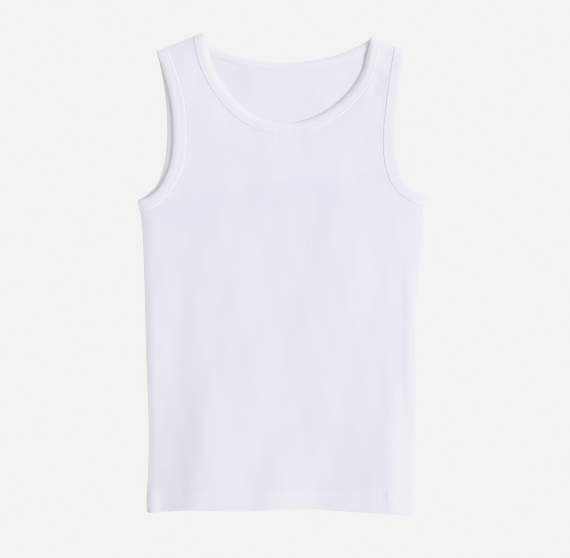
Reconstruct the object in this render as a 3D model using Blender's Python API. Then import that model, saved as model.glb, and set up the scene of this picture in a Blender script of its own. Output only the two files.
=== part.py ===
"""Child's ribbed cotton tank top, laid flat with its front on its back.

Five sewn pieces, each a closed solid of cloth: a front and a back panel, one
binding around the neck and one around each armhole. The panels meet along the
sides and shoulders in soft rolled folds, and the bindings run around those
folds as closed loops. Lengths are in millimetres and become metres in
new_object. +X is to the right, +Y to the neck and +Z up from the surface.
"""
import math
from collections import namedtuple

import bmesh
import bpy
import numpy as np
from mathutils.geometry import delaunay_2d_cdt

MM = 0.001

# Cloth
WALL = 1.2
HEM_WALL = 1.7
HEM_DEPTH = 20.0
HEM_STEP = 2.0
BINDING_WIDTH = 12.0
BINDING_WALL = 1.8
BINDING_PROUD = 0.5
BINDING_ROUND = 0.35
SEAM_GAP = 0.3

# Heights above the surface that the top lies on
FOLD_HEIGHT = 2.05
FRONT_HEIGHT = 3.6
HEM_LIFT = 0.5
FOLD_LIP = 0.5
ROLL = 8.0
BACK_HEM_SETBACK = 1.0

# Mesh
ROLL_ANGLES = (0, 22.5, 45, 67.5, 90)
STATION_STEP = 6.0
EDGE_STEP = 9.0
EDGE_CLEARANCE = 0.8
TURN_LENGTH = 16.0
INSIDE_OUTLINE = 1

CLOTH_COLOR = (0.83, 0.84, 0.9, 1.0)
BINDING_COLOR = (0.87, 0.88, 0.93, 1.0)
CLOTH_ROUGHNESS = 0.9

Point = namedtuple("Point", "x y")

LEFT_NECK_CORNER = Point(-81.8, 251.6)
LEFT_SHOULDER_CORNER = Point(-132.3, 231.3)
RIGHT_NECK_CORNER = Point(90.8, 246.7)
RIGHT_SHOULDER_CORNER = Point(126.2, 232.1)
LEFT_UNDERARM = Point(-151.3, 74.6)
RIGHT_UNDERARM = Point(151.3, 80.3)

FRONT_NECK = (
    LEFT_NECK_CORNER,
    Point(-79.8, 241.0),
    Point(-76.6, 223.0),
    Point(-69.4, 205.8),
    Point(-58.0, 188.6),
    Point(-43.0, 172.6),
    Point(-26.0, 162.0),
    Point(-8.0, 157.6),
    Point(12.0, 157.6),
    Point(32.0, 163.2),
    Point(52.5, 175.4),
    Point(70.0, 192.4),
    Point(81.2, 211.0),
    Point(87.4, 230.9),
    RIGHT_NECK_CORNER,
)
BACK_NECK = (
    LEFT_NECK_CORNER,
    Point(-76.5, 241.0),
    Point(-62.5, 231.4),
    Point(-32.0, 222.8),
    Point(2.0, 219.4),
    Point(38.0, 223.3),
    Point(64.0, 230.8),
    Point(79.5, 238.0),
    Point(88.8, 243.2),
    RIGHT_NECK_CORNER,
)
LEFT_ARMHOLE_FRONT = (
    LEFT_SHOULDER_CORNER,
    Point(-123.6, 207.9),
    Point(-117.2, 184.8),
    Point(-113.9, 159.8),
    Point(-113.6, 136.0),
    Point(-117.0, 112.5),
    Point(-126.8, 91.8),
    Point(-138.0, 81.6),
    LEFT_UNDERARM,
)
LEFT_ARMHOLE_BACK = (
    LEFT_SHOULDER_CORNER,
    Point(-127.1, 210.3),
    Point(-123.0, 186.0),
    Point(-120.6, 160.0),
    Point(-120.8, 136.0),
    Point(-124.2, 112.5),
    Point(-131.0, 94.0),
    Point(-140.5, 83.8),
    LEFT_UNDERARM,
)
RIGHT_ARMHOLE_FRONT = (
    RIGHT_SHOULDER_CORNER,
    Point(123.2, 211.1),
    Point(119.8, 182.0),
    Point(117.3, 150.8),
    Point(117.6, 128.0),
    Point(120.4, 110.0),
    Point(126.8, 94.6),
    Point(139.2, 85.0),
    RIGHT_UNDERARM,
)
RIGHT_ARMHOLE_BACK = (
    RIGHT_SHOULDER_CORNER,
    Point(121.6, 211.1),
    Point(117.3, 182.0),
    Point(114.6, 150.8),
    Point(115.0, 128.0),
    Point(118.2, 109.0),
    Point(125.2, 92.8),
    Point(138.6, 83.8),
    RIGHT_UNDERARM,
)
LEFT_SIDE = (
    LEFT_UNDERARM,
    Point(-148.8, 63.0),
    Point(-146.3, 35.0),
    Point(-144.2, -27.4),
    Point(-142.6, -90.0),
    Point(-140.4, -152.0),
    Point(-140.8, -205.0),
    Point(-142.6, -232.0),
    Point(-142.0, -247.2),
)
RIGHT_SIDE = (
    RIGHT_UNDERARM,
    Point(146.0, 69.6),
    Point(144.6, 45.0),
    Point(141.8, 7.0),
    Point(138.0, -40.0),
    Point(137.2, -90.0),
    Point(137.4, -251.0),
)
HEM_LINE = (
    Point(-142.0, -247.2),
    Point(-138.0, -248.6),
    Point(-123.4, -247.3),
    Point(-92.2, -245.8),
    Point(-40.2, -246.8),
    Point(1.4, -244.3),
    Point(32.6, -244.3),
    Point(62.7, -246.8),
    Point(96.0, -248.7),
    Point(121.0, -250.4),
    Point(137.4, -251.0),
)

# The cloth's long soft folds run up from the hem and fade out, steeper on their left
Fold = namedtuple("Fold", "x_hem x_top y_full y_top left_width right_width height")
FRONT_FOLDS = (
    Fold(x_hem=-92, x_top=-103, y_full=-232, y_top=-95, left_width=15, right_width=38, height=2.3),
    Fold(x_hem=-8, x_top=-14, y_full=-230, y_top=-125, left_width=13, right_width=34, height=1.5),
    Fold(x_hem=59, x_top=63, y_full=-230, y_top=-140, left_width=11, right_width=26, height=1.0),
    Fold(x_hem=112, x_top=109, y_full=-200, y_top=40, left_width=8, right_width=11, height=1.0),
)
# Under the front's folds the back lifts a little off the surface
BACK_FOLDS = (
    Fold(x_hem=-84, x_top=-96, y_full=-225, y_top=-110, left_width=16, right_width=22, height=0.7),
    Fold(x_hem=2, x_top=-10, y_full=-235, y_top=-150, left_width=11, right_width=18, height=0.6),
    Fold(x_hem=112, x_top=108, y_full=-190, y_top=-60, left_width=9, right_width=8, height=0.4),
)

# Spacing of the mesh's points across and along the folds
Lattice = namedtuple("Lattice", "across along")
FRONT_LATTICE = Lattice(across=6.5, along=13.0)
BACK_LATTICE = Lattice(across=9.0, along=16.0)


class Edge:
    """A smooth plan curve through a table's rows, measured along its length."""

    SAMPLES = 16

    def __init__(self, rows):
        rows = np.array(rows, dtype=float)
        self.points = np.array(list(self.smoothed(rows)))
        steps = np.linalg.norm(np.diff(self.points, axis=0), axis=1)
        self.marks = np.concatenate(([0.0], np.cumsum(steps)))
        self.length = self.marks[-1]

    def smoothed(self, rows):
        """Catmull-Rom points, with each end's row mirrored beyond it."""
        before = 2 * rows[0] - rows[1]
        after = 2 * rows[-1] - rows[-2]
        padded = np.vstack((before, rows, after))
        for a, b, c, d in zip(padded, padded[1:], padded[2:], padded[3:]):
            for t in np.arange(self.SAMPLES) / self.SAMPLES:
                line = 2 * b + (c - a) * t
                bend = (2 * a - 5 * b + 4 * c - d) * t**2 + (3 * b - a - 3 * c + d) * t**3
                yield (line + bend) / 2
        yield rows[-1]

    def at(self, distance):
        x = np.interp(distance, self.marks, self.points[:, 0])
        y = np.interp(distance, self.marks, self.points[:, 1])
        return np.array((x, y))

    def heading(self, distance):
        reach = 1.0
        ahead = self.at(min(distance + reach, self.length))
        behind = self.at(max(distance - reach, 0.0))
        return unit(ahead - behind)

    def spaced(self, start, end, step):
        """Points between two distances, about a step apart, ends included."""
        count = max(1, round(abs(end - start) / step))
        return [self.at(distance) for distance in np.linspace(start, end, count + 1)]


def unit(vector):
    return vector / np.linalg.norm(vector)


def smoothstep(value):
    value = np.clip(value, 0.0, 1.0)
    return value * value * (3 - 2 * value)


def quarter_round(share):
    """Height share of a rounded edge, at a share of its depth from the edge."""
    share = np.clip(share, 0.0, 1.0)
    return np.sqrt(1 - (1 - share) ** 2)


def turned_share(angle):
    """Share of a fold's depth that its cloth has crossed at an angle."""
    return 1 - math.cos(math.radians(angle))


def inner_turn(share):
    """Distance of a binding's inner face from the fold, for that share."""
    return BINDING_WALL + (ROLL - BINDING_WALL) * share


# Outline curves, and the folds that join front to back

LEFT_SIDE_FOLD = Edge(LEFT_SIDE)
RIGHT_SIDE_FOLD = Edge(RIGHT_SIDE)
LEFT_SHOULDER_FOLD = Edge((LEFT_NECK_CORNER, LEFT_SHOULDER_CORNER))
RIGHT_SHOULDER_FOLD = Edge((RIGHT_NECK_CORNER, RIGHT_SHOULDER_CORNER))
FOLD_LINES = (LEFT_SIDE_FOLD, RIGHT_SIDE_FOLD, LEFT_SHOULDER_FOLD, RIGHT_SHOULDER_FOLD)
HEM = Edge(HEM_LINE)


class BoundEdge:
    """An open edge of one panel, with the strip of binding along it.

    It runs from one fold to the next. turn is 1 where the cloth is on its
    right and -1 where it is on its left, and start_across and end_across are
    the directions of the folds, from the open edge into the cloth.
    """

    def __init__(self, rows, turn, start_across, end_across):
        self.edge = Edge(rows)
        self.turn = turn
        self.start_across = unit(np.array(start_across))
        self.end_across = unit(np.array(end_across))

    def across(self, distance):
        heading = self.edge.heading(distance)
        square = self.turn * np.array((heading[1], -heading[0]))
        from_end = self.edge.length - distance
        at_start = 1 - smoothstep(distance / TURN_LENGTH)
        at_end = 1 - smoothstep(from_end / TURN_LENGTH)
        mixed = square * (1 - at_start - at_end)
        return unit(mixed + at_start * self.start_across + at_end * self.end_across)

    def point(self, distance, depth):
        """The plan point at a depth into the cloth from the open edge."""
        return self.edge.at(distance) + depth * self.across(distance)

    def run(self):
        """Distances along the flat stretch between the rolled ends."""
        first = ROLL
        last = self.edge.length - ROLL
        count = round((last - first) / STATION_STEP)
        return np.linspace(first, last, count + 1)

    def seam(self):
        """The panel's edge, a seam's gap away from the binding."""
        depth = BINDING_WIDTH + SEAM_GAP
        start = [ROLL * turned_share(angle) for angle in ROLL_ANGLES[:-1]]
        end = [self.edge.length - distance for distance in reversed(start)]
        distances = start + list(self.run()) + end
        return [self.point(distance, depth) for distance in distances]


def direction(start, end):
    return (end.x - start.x, end.y - start.y)


LEFT_SHOULDER_OUT = direction(LEFT_NECK_CORNER, LEFT_SHOULDER_CORNER)
LEFT_SHOULDER_IN = direction(LEFT_SHOULDER_CORNER, LEFT_NECK_CORNER)
RIGHT_SHOULDER_OUT = direction(RIGHT_NECK_CORNER, RIGHT_SHOULDER_CORNER)
RIGHT_SHOULDER_IN = direction(RIGHT_SHOULDER_CORNER, RIGHT_NECK_CORNER)
LEFT_SIDE_DOWN = direction(LEFT_SIDE[0], LEFT_SIDE[1])
RIGHT_SIDE_DOWN = direction(RIGHT_SIDE[0], RIGHT_SIDE[1])

Opening = namedtuple("Opening", "front back")
NECK = Opening(
    front=BoundEdge(FRONT_NECK, 1, LEFT_SHOULDER_OUT, RIGHT_SHOULDER_OUT),
    back=BoundEdge(BACK_NECK, 1, LEFT_SHOULDER_OUT, RIGHT_SHOULDER_OUT),
)
LEFT_ARMHOLE = Opening(
    front=BoundEdge(LEFT_ARMHOLE_FRONT, -1, LEFT_SHOULDER_IN, LEFT_SIDE_DOWN),
    back=BoundEdge(LEFT_ARMHOLE_BACK, -1, LEFT_SHOULDER_IN, LEFT_SIDE_DOWN),
)
RIGHT_ARMHOLE = Opening(
    front=BoundEdge(RIGHT_ARMHOLE_FRONT, 1, RIGHT_SHOULDER_IN, RIGHT_SIDE_DOWN),
    back=BoundEdge(RIGHT_ARMHOLE_BACK, 1, RIGHT_SHOULDER_IN, RIGHT_SIDE_DOWN),
)


# Heights of the cloth

def hem_height(points):
    """Distance up from the hem's lower edge."""
    return points[:, 1] - np.interp(points[:, 0], HEM.points[:, 0], HEM.points[:, 1])


def hem_share(points):
    """1 on the turned-up hem, 0 above it."""
    above = hem_height(points) - HEM_DEPTH + HEM_STEP / 2
    return 1 - smoothstep(above / HEM_STEP)


def fold_rise(points, folds):
    """Rise of the long folds, summed."""
    x, y = points[:, 0], points[:, 1]
    rise = np.zeros(len(points))
    for fold in folds:
        up = np.clip((y - fold.y_full) / (fold.y_top - fold.y_full), 0.0, 1.0)
        offset = x - (fold.x_hem + (fold.x_top - fold.x_hem) * up)
        width = np.where(offset < 0, fold.left_width, fold.right_width)
        rise += fold.height * (1 - smoothstep(up)) * np.exp(-((offset / width) ** 2))
    return rise


def front_height(points):
    """Top of the front's cloth, away from its rolled folds."""
    lift = HEM_LIFT * (1 - smoothstep(hem_height(points) / (3 * HEM_DEPTH)))
    return FRONT_HEIGHT + lift + fold_rise(points, FRONT_FOLDS)


def wall_at(points):
    return WALL + (HEM_WALL - WALL) * hem_share(points)


def fold_distance(points):
    """Distance in plan to the nearest side or shoulder fold."""
    nearest = np.full(len(points), np.inf)
    for fold in FOLD_LINES:
        for start, end in zip(fold.points[:-1], fold.points[1:]):
            along = end - start
            share = np.clip((points - start) @ along / (along @ along), 0.0, 1.0)
            gap = np.linalg.norm(points - start - share[:, None] * along, axis=1)
            nearest = np.minimum(nearest, gap)
    return nearest


def rolled_shares(points):
    """Height shares of a panel's outer and inner faces near its folds."""
    distance = fold_distance(points)
    outer = quarter_round(distance / ROLL)
    inner = quarter_round((distance - WALL) / (ROLL - WALL))
    return outer, inner


def front_faces(points):
    """Outer and inner heights of the front panel."""
    outer_share, inner_share = rolled_shares(points)
    top = front_height(points)
    seam = FOLD_HEIGHT + SEAM_GAP / 2
    outer = seam + FOLD_LIP + (top - seam - FOLD_LIP) * outer_share
    inner = seam + (top - wall_at(points) - seam) * inner_share
    return outer, inner


def back_faces(points):
    """Outer (lower) and inner (upper) heights of the back panel."""
    outer_share, inner_share = rolled_shares(points)
    seam = FOLD_HEIGHT - SEAM_GAP / 2
    lift = fold_rise(points, BACK_FOLDS)
    outer = (seam - FOLD_LIP) + (lift - seam + FOLD_LIP) * outer_share
    inner = seam + (lift + wall_at(points) - seam) * inner_share
    return outer, inner


# Panels

def side_points(fold):
    """The panel's side from the end of its binding down to the hem."""
    return fold.spaced(BINDING_WIDTH + SEAM_GAP, fold.length, EDGE_STEP)


def panel_outline(layer, hem_setback):
    """The panel's plan outline, counter-clockwise from the hem's left end."""
    neck = getattr(NECK, layer)
    left = getattr(LEFT_ARMHOLE, layer)
    right = getattr(RIGHT_ARMHOLE, layer)
    hem = [point + (0, hem_setback) for point in HEM.spaced(0, HEM.length, EDGE_STEP)]
    right_side = side_points(RIGHT_SIDE_FOLD)[::-1]
    left_side = side_points(LEFT_SIDE_FOLD)
    loop = hem + right_side[1:-1] + right.seam()[::-1]
    loop += neck.seam()[::-1] + left.seam() + left_side[1:-1]
    return loop


def inside(points, loop, clearance):
    """Which points are in the loop, at least the clearance from its edge."""
    start = np.array(loop)
    end = np.roll(start, -1, axis=0)
    crossings = np.zeros(len(points), dtype=int)
    nearest = np.full(len(points), np.inf)
    for a, b in zip(start, end):
        spans = (a[1] > points[:, 1]) != (b[1] > points[:, 1])
        rise = b[1] - a[1] if b[1] != a[1] else 1.0
        at_x = a[0] + (points[:, 1] - a[1]) * (b[0] - a[0]) / rise
        crossings += spans & (points[:, 0] < at_x)
        share = np.clip((points - a) @ (b - a) / ((b - a) @ (b - a)), 0.0, 1.0)
        gap = np.linalg.norm(points - a - share[:, None] * (b - a), axis=1)
        nearest = np.minimum(nearest, gap)
    return (crossings % 2 == 1) & (nearest > clearance)


def roll_rows():
    """Points along the side and shoulder folds, where the cloth curves down."""
    for fold, turn in zip(FOLD_LINES, (-1, 1, 1, -1)):
        for angle in ROLL_ANGLES[1:]:
            depth = ROLL * turned_share(angle)
            count = round(fold.length / EDGE_STEP)
            for distance in np.linspace(0, fold.length, count + 1):
                heading = fold.heading(distance)
                into = turn * np.array((heading[1], -heading[0]))
                yield fold.at(distance) + depth * into


def hem_rows():
    """Points along the top of the hem, where its wall steps in."""
    for rise in (HEM_DEPTH - HEM_STEP / 2, HEM_DEPTH + HEM_STEP / 2):
        for point in HEM.spaced(ROLL, HEM.length - ROLL, EDGE_STEP):
            yield point + (0, rise)


def lattice_points(lattice, loop):
    """Staggered rows of points over the whole of a panel."""
    low_x, low_y = np.min(loop, axis=0)
    high_x, high_y = np.max(loop, axis=0)
    for row, y in enumerate(np.arange(low_y, high_y, lattice.along)):
        for x in np.arange(low_x, high_x, lattice.across):
            yield (x + (row % 2) * lattice.across / 2, y)


def far_from(points, others, clearance):
    others = np.array(others)
    gaps = np.linalg.norm(points[:, None] - others[None], axis=2)
    return gaps.min(axis=1) > clearance


def panel_mesh(layer, faces, lattice, hem_setback=0.0):
    """A closed wall over the panel's outline, between its two faces."""
    loop = panel_outline(layer, hem_setback)
    rows = np.array(list(roll_rows()) + list(hem_rows()))
    rows = rows[inside(rows, loop, EDGE_CLEARANCE)]
    filling = np.array(list(lattice_points(lattice, loop)))
    filling = filling[inside(filling, loop, lattice.across / 2)]
    filling = filling[far_from(filling, rows, lattice.across / 2)]
    plan = [tuple(point) for point in np.vstack((loop, rows, filling))]
    border = list(range(len(loop)))
    filled = delaunay_2d_cdt(plan, [], [border], INSIDE_OUTLINE, 1e-4)
    points = np.array([tuple(point) for point in filled[0]])
    outer, inner = faces(points)
    return wall_between(points, outer, inner, filled[2])


def wall_between(points, outer, inner, triangles):
    """Outer and inner faces over the same plan, closed around their rim."""
    mesh = bmesh.new()
    upper = [mesh.verts.new((x, y, z)) for (x, y), z in zip(points, np.maximum(outer, inner))]
    lower = [mesh.verts.new((x, y, z)) for (x, y), z in zip(points, np.minimum(outer, inner))]
    for corners in triangles:
        mesh.faces.new([upper[i] for i in corners])
        mesh.faces.new([lower[i] for i in reversed(corners)])
    rim = [edge for edge in mesh.edges if edge.is_boundary and edge.verts[0] in set(upper)]
    matching = dict(zip(upper, lower))
    for edge in rim:
        loop = edge.link_loops[0]
        start, end = loop.vert, loop.link_loop_next.vert
        mesh.faces.new((end, start, matching[start], matching[end]))
    return mesh


# Bindings

def section(bound, outer_distance, inner_distance, outer_height, inner_height):
    """One cross-section of a binding: its outer face, then its inner face."""
    inset = BINDING_ROUND
    depths = (0.0, inset, BINDING_WIDTH - inset, BINDING_WIDTH)
    insets = (inset, 0.0, 0.0, inset)
    ring = []
    for depth, edge_round in zip(depths, insets):
        point = bound.point(outer_distance, depth)
        ring.append((*point, outer_height(point, edge_round)))
    for depth in (BINDING_WIDTH, BINDING_WIDTH / 2, 0.0):
        point = bound.point(inner_distance, depth)
        ring.append((*point, inner_height(point)))
    return ring


def front_section(bound, outer_distance, inner_distance, share):
    def outer_height(point, edge_round):
        top = front_height(point[None])[0] + BINDING_PROUD - edge_round
        return FOLD_HEIGHT + (top - FOLD_HEIGHT) * share

    def inner_height(point):
        under = front_height(point[None])[0] + BINDING_PROUD - BINDING_WALL
        return FOLD_HEIGHT + (under - FOLD_HEIGHT) * share

    return section(bound, outer_distance, inner_distance, outer_height, inner_height)


def back_section(bound, outer_distance, inner_distance, share):
    def outer_height(point, edge_round):
        return FOLD_HEIGHT * (1 - share) + edge_round * share

    def inner_height(point):
        return FOLD_HEIGHT - (FOLD_HEIGHT - BINDING_WALL) * share

    return section(bound, outer_distance, inner_distance, outer_height, inner_height)


def strip_sections(bound, make_section):
    """Sections from one fold to the other, with both rolled ends."""
    length = bound.edge.length
    start = []
    end = []
    for angle in ROLL_ANGLES[:-1]:
        outer = ROLL * turned_share(angle)
        inner = inner_turn(turned_share(angle))
        share = math.sin(math.radians(angle))
        start.append(make_section(bound, outer, inner, share))
        end.append(make_section(bound, length - outer, length - inner, share))
    middle = [make_section(bound, distance, distance, 1.0) for distance in bound.run()]
    return start + middle + end[::-1]


def binding_mesh(opening):
    """A closed loop of binding around an opening, front and back."""
    front = strip_sections(opening.front, front_section)
    back = strip_sections(opening.back, back_section)[::-1]
    sections = front + back[1:-1]
    mesh = bmesh.new()
    rings = [[mesh.verts.new(point) for point in ring] for ring in sections]
    for ring, following in zip(rings, rings[1:] + rings[:1]):
        size = len(ring)
        for i in range(size):
            j = (i + 1) % size
            mesh.faces.new((ring[i], ring[j], following[j], following[i]))
    bmesh.ops.recalc_face_normals(mesh, faces=mesh.faces)
    return mesh


# Objects

def cloth_material(name, color):
    material = bpy.data.materials.new(name)
    material.use_nodes = True
    shader = material.node_tree.nodes["Principled BSDF"]
    shader.inputs["Base Color"].default_value = color
    shader.inputs["Roughness"].default_value = CLOTH_ROUGHNESS
    shader.inputs["Metallic"].default_value = 0.0
    return material


def new_object(name, mesh, material):
    bmesh.ops.scale(mesh, vec=(MM, MM, MM), verts=mesh.verts)
    data = bpy.data.meshes.new(name)
    mesh.to_mesh(data)
    mesh.free()
    data.materials.append(material)
    data.shade_smooth()
    data.set_sharp_from_angle(angle=math.radians(40))
    made = bpy.data.objects.new(name, data)
    bpy.context.scene.collection.objects.link(made)
    return made


def build():
    for old in list(bpy.data.objects):
        bpy.data.objects.remove(old)
    panel_cloth = cloth_material("rib_cloth", CLOTH_COLOR)
    binding_cloth = cloth_material("binding_cloth", BINDING_COLOR)
    front = panel_mesh("front", front_faces, FRONT_LATTICE)
    back = panel_mesh("back", back_faces, BACK_LATTICE, BACK_HEM_SETBACK)
    new_object("front_panel", front, panel_cloth)
    new_object("back_panel", back, panel_cloth)
    new_object("neck_binding", binding_mesh(NECK), binding_cloth)
    new_object("armhole_binding_left", binding_mesh(LEFT_ARMHOLE), binding_cloth)
    new_object("armhole_binding_right", binding_mesh(RIGHT_ARMHOLE), binding_cloth)


build()
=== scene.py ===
"""Looks of the child's ribbed cotton tank top, laid flat on a pale surface.

The garment's five pieces are thin cloth on the form of their solids: a front
and a back panel with turned-up hems, and a strip of binding folded around the
edge of each opening, with the sewing that holds them. The outlines and the
heights of the cloth follow the part's source to within 2 mm. The garment's
lengths are in millimetres and become metres in new_object. +X is to the
right, +Y to the neck and +Z up.
"""

import math
from collections import namedtuple
from dataclasses import dataclass

import bpy
import numpy as np
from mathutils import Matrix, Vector
from mathutils.geometry import delaunay_2d_cdt
from mathutils.kdtree import KDTree


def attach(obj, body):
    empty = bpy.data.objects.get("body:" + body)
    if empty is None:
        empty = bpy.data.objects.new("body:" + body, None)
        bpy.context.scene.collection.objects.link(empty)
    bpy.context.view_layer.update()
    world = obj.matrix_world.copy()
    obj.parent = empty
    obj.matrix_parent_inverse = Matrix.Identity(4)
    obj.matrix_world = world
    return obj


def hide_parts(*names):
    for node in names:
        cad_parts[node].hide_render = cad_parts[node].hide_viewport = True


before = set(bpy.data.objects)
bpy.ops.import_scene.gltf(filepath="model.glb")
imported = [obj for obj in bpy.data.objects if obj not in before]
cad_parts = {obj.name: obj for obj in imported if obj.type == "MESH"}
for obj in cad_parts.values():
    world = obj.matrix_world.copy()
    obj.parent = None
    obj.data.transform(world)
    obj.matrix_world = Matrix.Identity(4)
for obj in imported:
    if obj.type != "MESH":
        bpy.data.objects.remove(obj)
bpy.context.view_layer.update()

MM = 0.001


def bell(offset, width):
    return np.exp(-((offset / width) ** 2))


@dataclass(frozen=True)
class Ridge:
    """A soft ridge, or a groove where its height is negative."""

    height: float
    width: float

    def at(self, offset):
        return self.height * bell(offset, self.width)


# Sizes that the part's source gives
HEM_DEPTH = 20.0
HEM_STEP = 2.0
BINDING_WIDTH = 12.0
BINDING_WALL = 1.8
BINDING_PROUD = 0.5
FOLD_HEIGHT = 2.05
FRONT_HEIGHT = 3.6
HEM_LIFT = 0.5
ROLL = 8.0
BACK_HEM_SETBACK = 1.0
TURN_LENGTH = 16.0

# Cloth
WALL = 0.8
HEM_WALL = 1.6
HEM_ROUND = 0.75
HEM_CORE = 0.02
HEM_LIFT_REACH = 60.0
BACK_LOFT = 0.2
BACK_LIFT_REACH = 16.0
TIGHT_ROLL = 0.35
SEAM_GAP = 0.04
TUCK = 4.6
TUCK_STARTS = 5.0
TUCK_FULL = 15.0

# Sewn lines, with cloth that puffs out and puckers beside them
HEM_STITCH_ROWS = (16.8, 19.4)
HEM_GROOVE = Ridge(-0.09, 0.9)
HEM_PUFF = Ridge(0.10, 6.0)
HEM_PUCKER = Ridge(0.06, 5.0)
HEM_PUCKER_PACE = 1.3
SEAM_PUFF = Ridge(0.20, 2.6)
SEAM_PUFF_STARTS = 0.7
FRONT_PUCKER = Ridge(0.10, 5.0)
BACK_PUCKER = Ridge(0.05, 5.0)
PUCKER_DRIFT_LENGTH = 41.0
PUCKER_DRIFT_SHARE = 0.5
PUCKER_SWAY = 1.3
PUCKER_LENGTH = 9.1
SHORT_PUCKER_LENGTH = 5.7
SHORT_PUCKER_SHARE = 0.6

# How the front's neck edge comes down to the back: over more cloth on the left than on the
# right, which changes over these shares of the edge
NECK_REST = 1.15
NECK_REST_WIDTHS = (42.0, 24.0)
NECK_REST_CHANGES = 0.36
NECK_REST_CHANGE = 0.4
NECK_REST_STARTS = 18.0
NECK_REST_RUN = 24.0

# A shallow furrow beside the left side's fold; its place is measured down the side
FURROW = Ridge(-0.13, 0.9)
FURROW_INSET = 2.9
FURROW_STARTS = 165.0
FURROW_ENDS = 268.0
FURROW_FADE = 24.0

# Binding
LEG = 0.265
INNER_LEG_AT_FOLD = 11.6
INNER_LEGS = {"front": 10.4, "back": 8.8}
INNER_LEG_RUN = 30.0
STITCH_INSET = 0.8
STITCH_ROW_RUN = 45.0
GROOVE = Ridge(-0.045, 0.7)
RIPPLE = Ridge(0.07, 3.2)
CROWN = 0.10
BACK_CROWN = 0.35
EDGE_ROUND = 0.5
RELIEF_SHARE = 0.1

# How much thinner a binding is pressed at its folded edge, over that depth
PRESS = 0.4
PRESS_DEPTH = 4.5
PRESS_EASE = 1.2

# How the bindings' thick corners at the underarms bulge out, and where
SWELL = 0.26
SWELL_CENTRE = 5.0
SWELL_RING = 2.3
SWELL_WIDTH = 3.4

Point = namedtuple("Point", "x y")


def table(columns, *rows):
    """Rows with named columns."""
    return tuple(columns(*row) for row in rows)


LEFT_NECK_CORNER = Point(-81.8, 251.6)
LEFT_SHOULDER_CORNER = Point(-132.3, 231.3)
RIGHT_NECK_CORNER = Point(90.8, 246.7)
RIGHT_SHOULDER_CORNER = Point(126.2, 232.1)
LEFT_UNDERARM = Point(-151.3, 74.6)
RIGHT_UNDERARM = Point(151.3, 80.3)

FRONT_NECK = table(
    Point,
    LEFT_NECK_CORNER, (-79.8, 241.0), (-76.6, 223.0), (-69.4, 205.8), (-58.0, 188.6),
    (-43.0, 172.6), (-26.0, 162.0), (-8.0, 157.6), (12.0, 157.4), (32.1, 162.9), (52.8, 175.0),
    (70.3, 192.1), (81.6, 210.8), (86.9, 231.1), RIGHT_NECK_CORNER,
)
BACK_NECK = table(
    Point,
    LEFT_NECK_CORNER, (-76.5, 241.0), (-62.5, 231.4), (-32.0, 222.8), (2.0, 219.4),
    (38.0, 223.3), (64.0, 230.8), (79.5, 238.0), (88.8, 243.2), RIGHT_NECK_CORNER,
)
LEFT_ARMHOLE_FRONT = table(
    Point,
    LEFT_SHOULDER_CORNER, (-124.6, 207.8), (-118.8, 184.7), (-115.6, 159.8), (-115.3, 136.0),
    (-118.6, 112.6), (-127.7, 92.2), (-138.0, 81.6), LEFT_UNDERARM,
)
LEFT_ARMHOLE_BACK = table(
    Point,
    LEFT_SHOULDER_CORNER, (-127.1, 210.3), (-123.3, 186.0), (-121.2, 160.0), (-121.4, 136.0),
    (-124.4, 112.5), (-131.0, 94.0), (-140.5, 83.8), LEFT_UNDERARM,
)
RIGHT_ARMHOLE_FRONT = table(
    Point,
    RIGHT_SHOULDER_CORNER, (123.2, 211.1), (119.8, 182.0), (117.3, 150.8), (117.6, 128.0),
    (120.4, 110.0), (126.8, 94.6), (139.2, 85.0), RIGHT_UNDERARM,
)
RIGHT_ARMHOLE_BACK = table(
    Point,
    RIGHT_SHOULDER_CORNER, (121.6, 211.1), (117.3, 182.0), (114.6, 150.8), (115.0, 128.0),
    (118.2, 109.0), (125.2, 92.8), (138.6, 83.8), RIGHT_UNDERARM,
)
LEFT_SIDE = table(
    Point,
    LEFT_UNDERARM, (-148.8, 63.0), (-146.3, 35.0), (-144.2, -27.4), (-142.6, -90.0),
    (-140.4, -152.0), (-140.8, -205.0), (-142.6, -232.0), (-142.0, -247.2),
)
RIGHT_SIDE = table(
    Point,
    RIGHT_UNDERARM, (146.0, 69.6), (144.6, 45.0), (141.8, 7.0), (138.0, -40.0), (137.2, -90.0),
    (137.4, -251.0),
)
HEM_LINE = table(
    Point,
    (-142.0, -247.2), (-138.0, -248.6), (-123.4, -247.3), (-92.2, -245.8), (-40.2, -246.8),
    (1.4, -244.3), (32.6, -244.3), (62.7, -246.8), (96.0, -248.7), (121.0, -250.4),
    (137.4, -251.0),
)

# Width of a binding's outer leg along its edge, where the sewing wandered
Width = namedtuple("Width", "along width")
NECK_FRONT_WIDTHS = table(Width, (0, 13.6), (10, 13.4), (26, 12.4), (40, 12.0))
NECK_BACK_WIDTHS = table(Width, (0, 13.6), (10, 13.0), (26, 12.0))
LEFT_FRONT_WIDTHS = table(
    Width,
    (0, 12.0), (16, 12.4), (38, 13.7), (64, 14.2), (118, 14.2), (134, 13.3), (150, 12.0),
)
RIGHT_FRONT_WIDTHS = table(
    Width,
    (0, 12.0), (12, 11.9), (34, 12.6), (58, 12.9), (82, 13.8), (118, 14.4), (129, 13.9),
    (142, 12.2), (155, 12.0),
)
EVEN_WIDTHS = table(Width, (0, BINDING_WIDTH))

# Long soft folds that run up from the hem and fade out
Fold = namedtuple("Fold", "x_hem x_top y_full y_top left_width right_width height")
FRONT_FOLDS = table(
    Fold,
    (-87, -66, -215, -45, 27, 66, 3.6),
    (-8, 42, -235, -110, 28, 38, 1.9),
    (102, 96, -215, -105, 44, 58, 3.0),
    (112, 109, -190, 60, 9, 10, 0.45),
)
BACK_FOLDS = table(
    Fold,
    (-84, -96, -225, -110, 16, 22, 0.7),
    (2, -10, -235, -150, 11, 18, 0.6),
    (112, 108, -190, -60, 9, 8, 0.4),
)

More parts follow.
